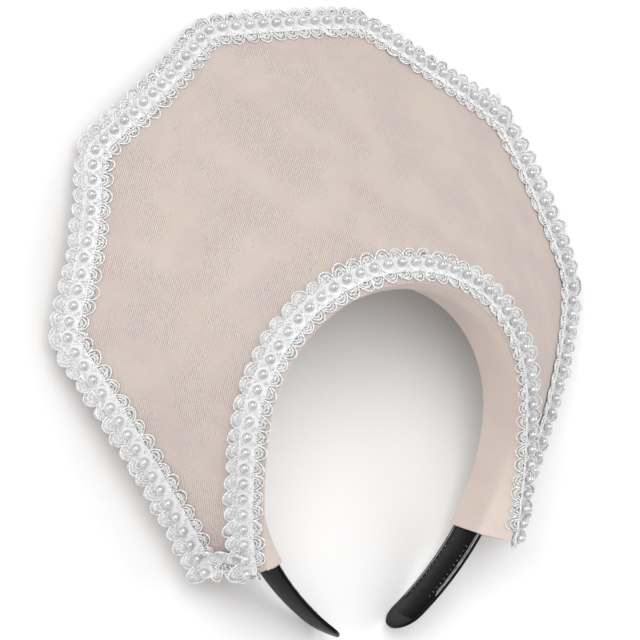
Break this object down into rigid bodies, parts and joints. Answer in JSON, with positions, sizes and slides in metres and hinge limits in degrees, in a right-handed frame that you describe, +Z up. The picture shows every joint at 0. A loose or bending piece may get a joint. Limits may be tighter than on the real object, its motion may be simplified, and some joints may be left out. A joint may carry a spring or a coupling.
{
  "type": "crown headpiece",
  "caption": "Fabric covered crown board swept back from a face arch, edged with pearl braid, on a plastic headband in a fabric sleeve.",
  "frame": {"origin": "middle of the underside of the box, on the surface that the headpiece lies on", "axes": "+X to the wearer's left, +Y from the headband's tips to the top of the board, +Z up, out of the board's front"},
  "size_m": [0.2398, 0.2476, 0.0736],
  "materials": {
    "fabric": "stiff cream fabric with a fine steep rib",
    "braid": "white and silver cord braid with white plastic pearls",
    "plastic": "glossy black"
  },
  "bodies": {
    "root": {"board": "fabric", "sleeve": "fabric", "headband": "plastic", "outer_braid": "braid", "arch_braid": "braid"}
  },
  "joints": []
}
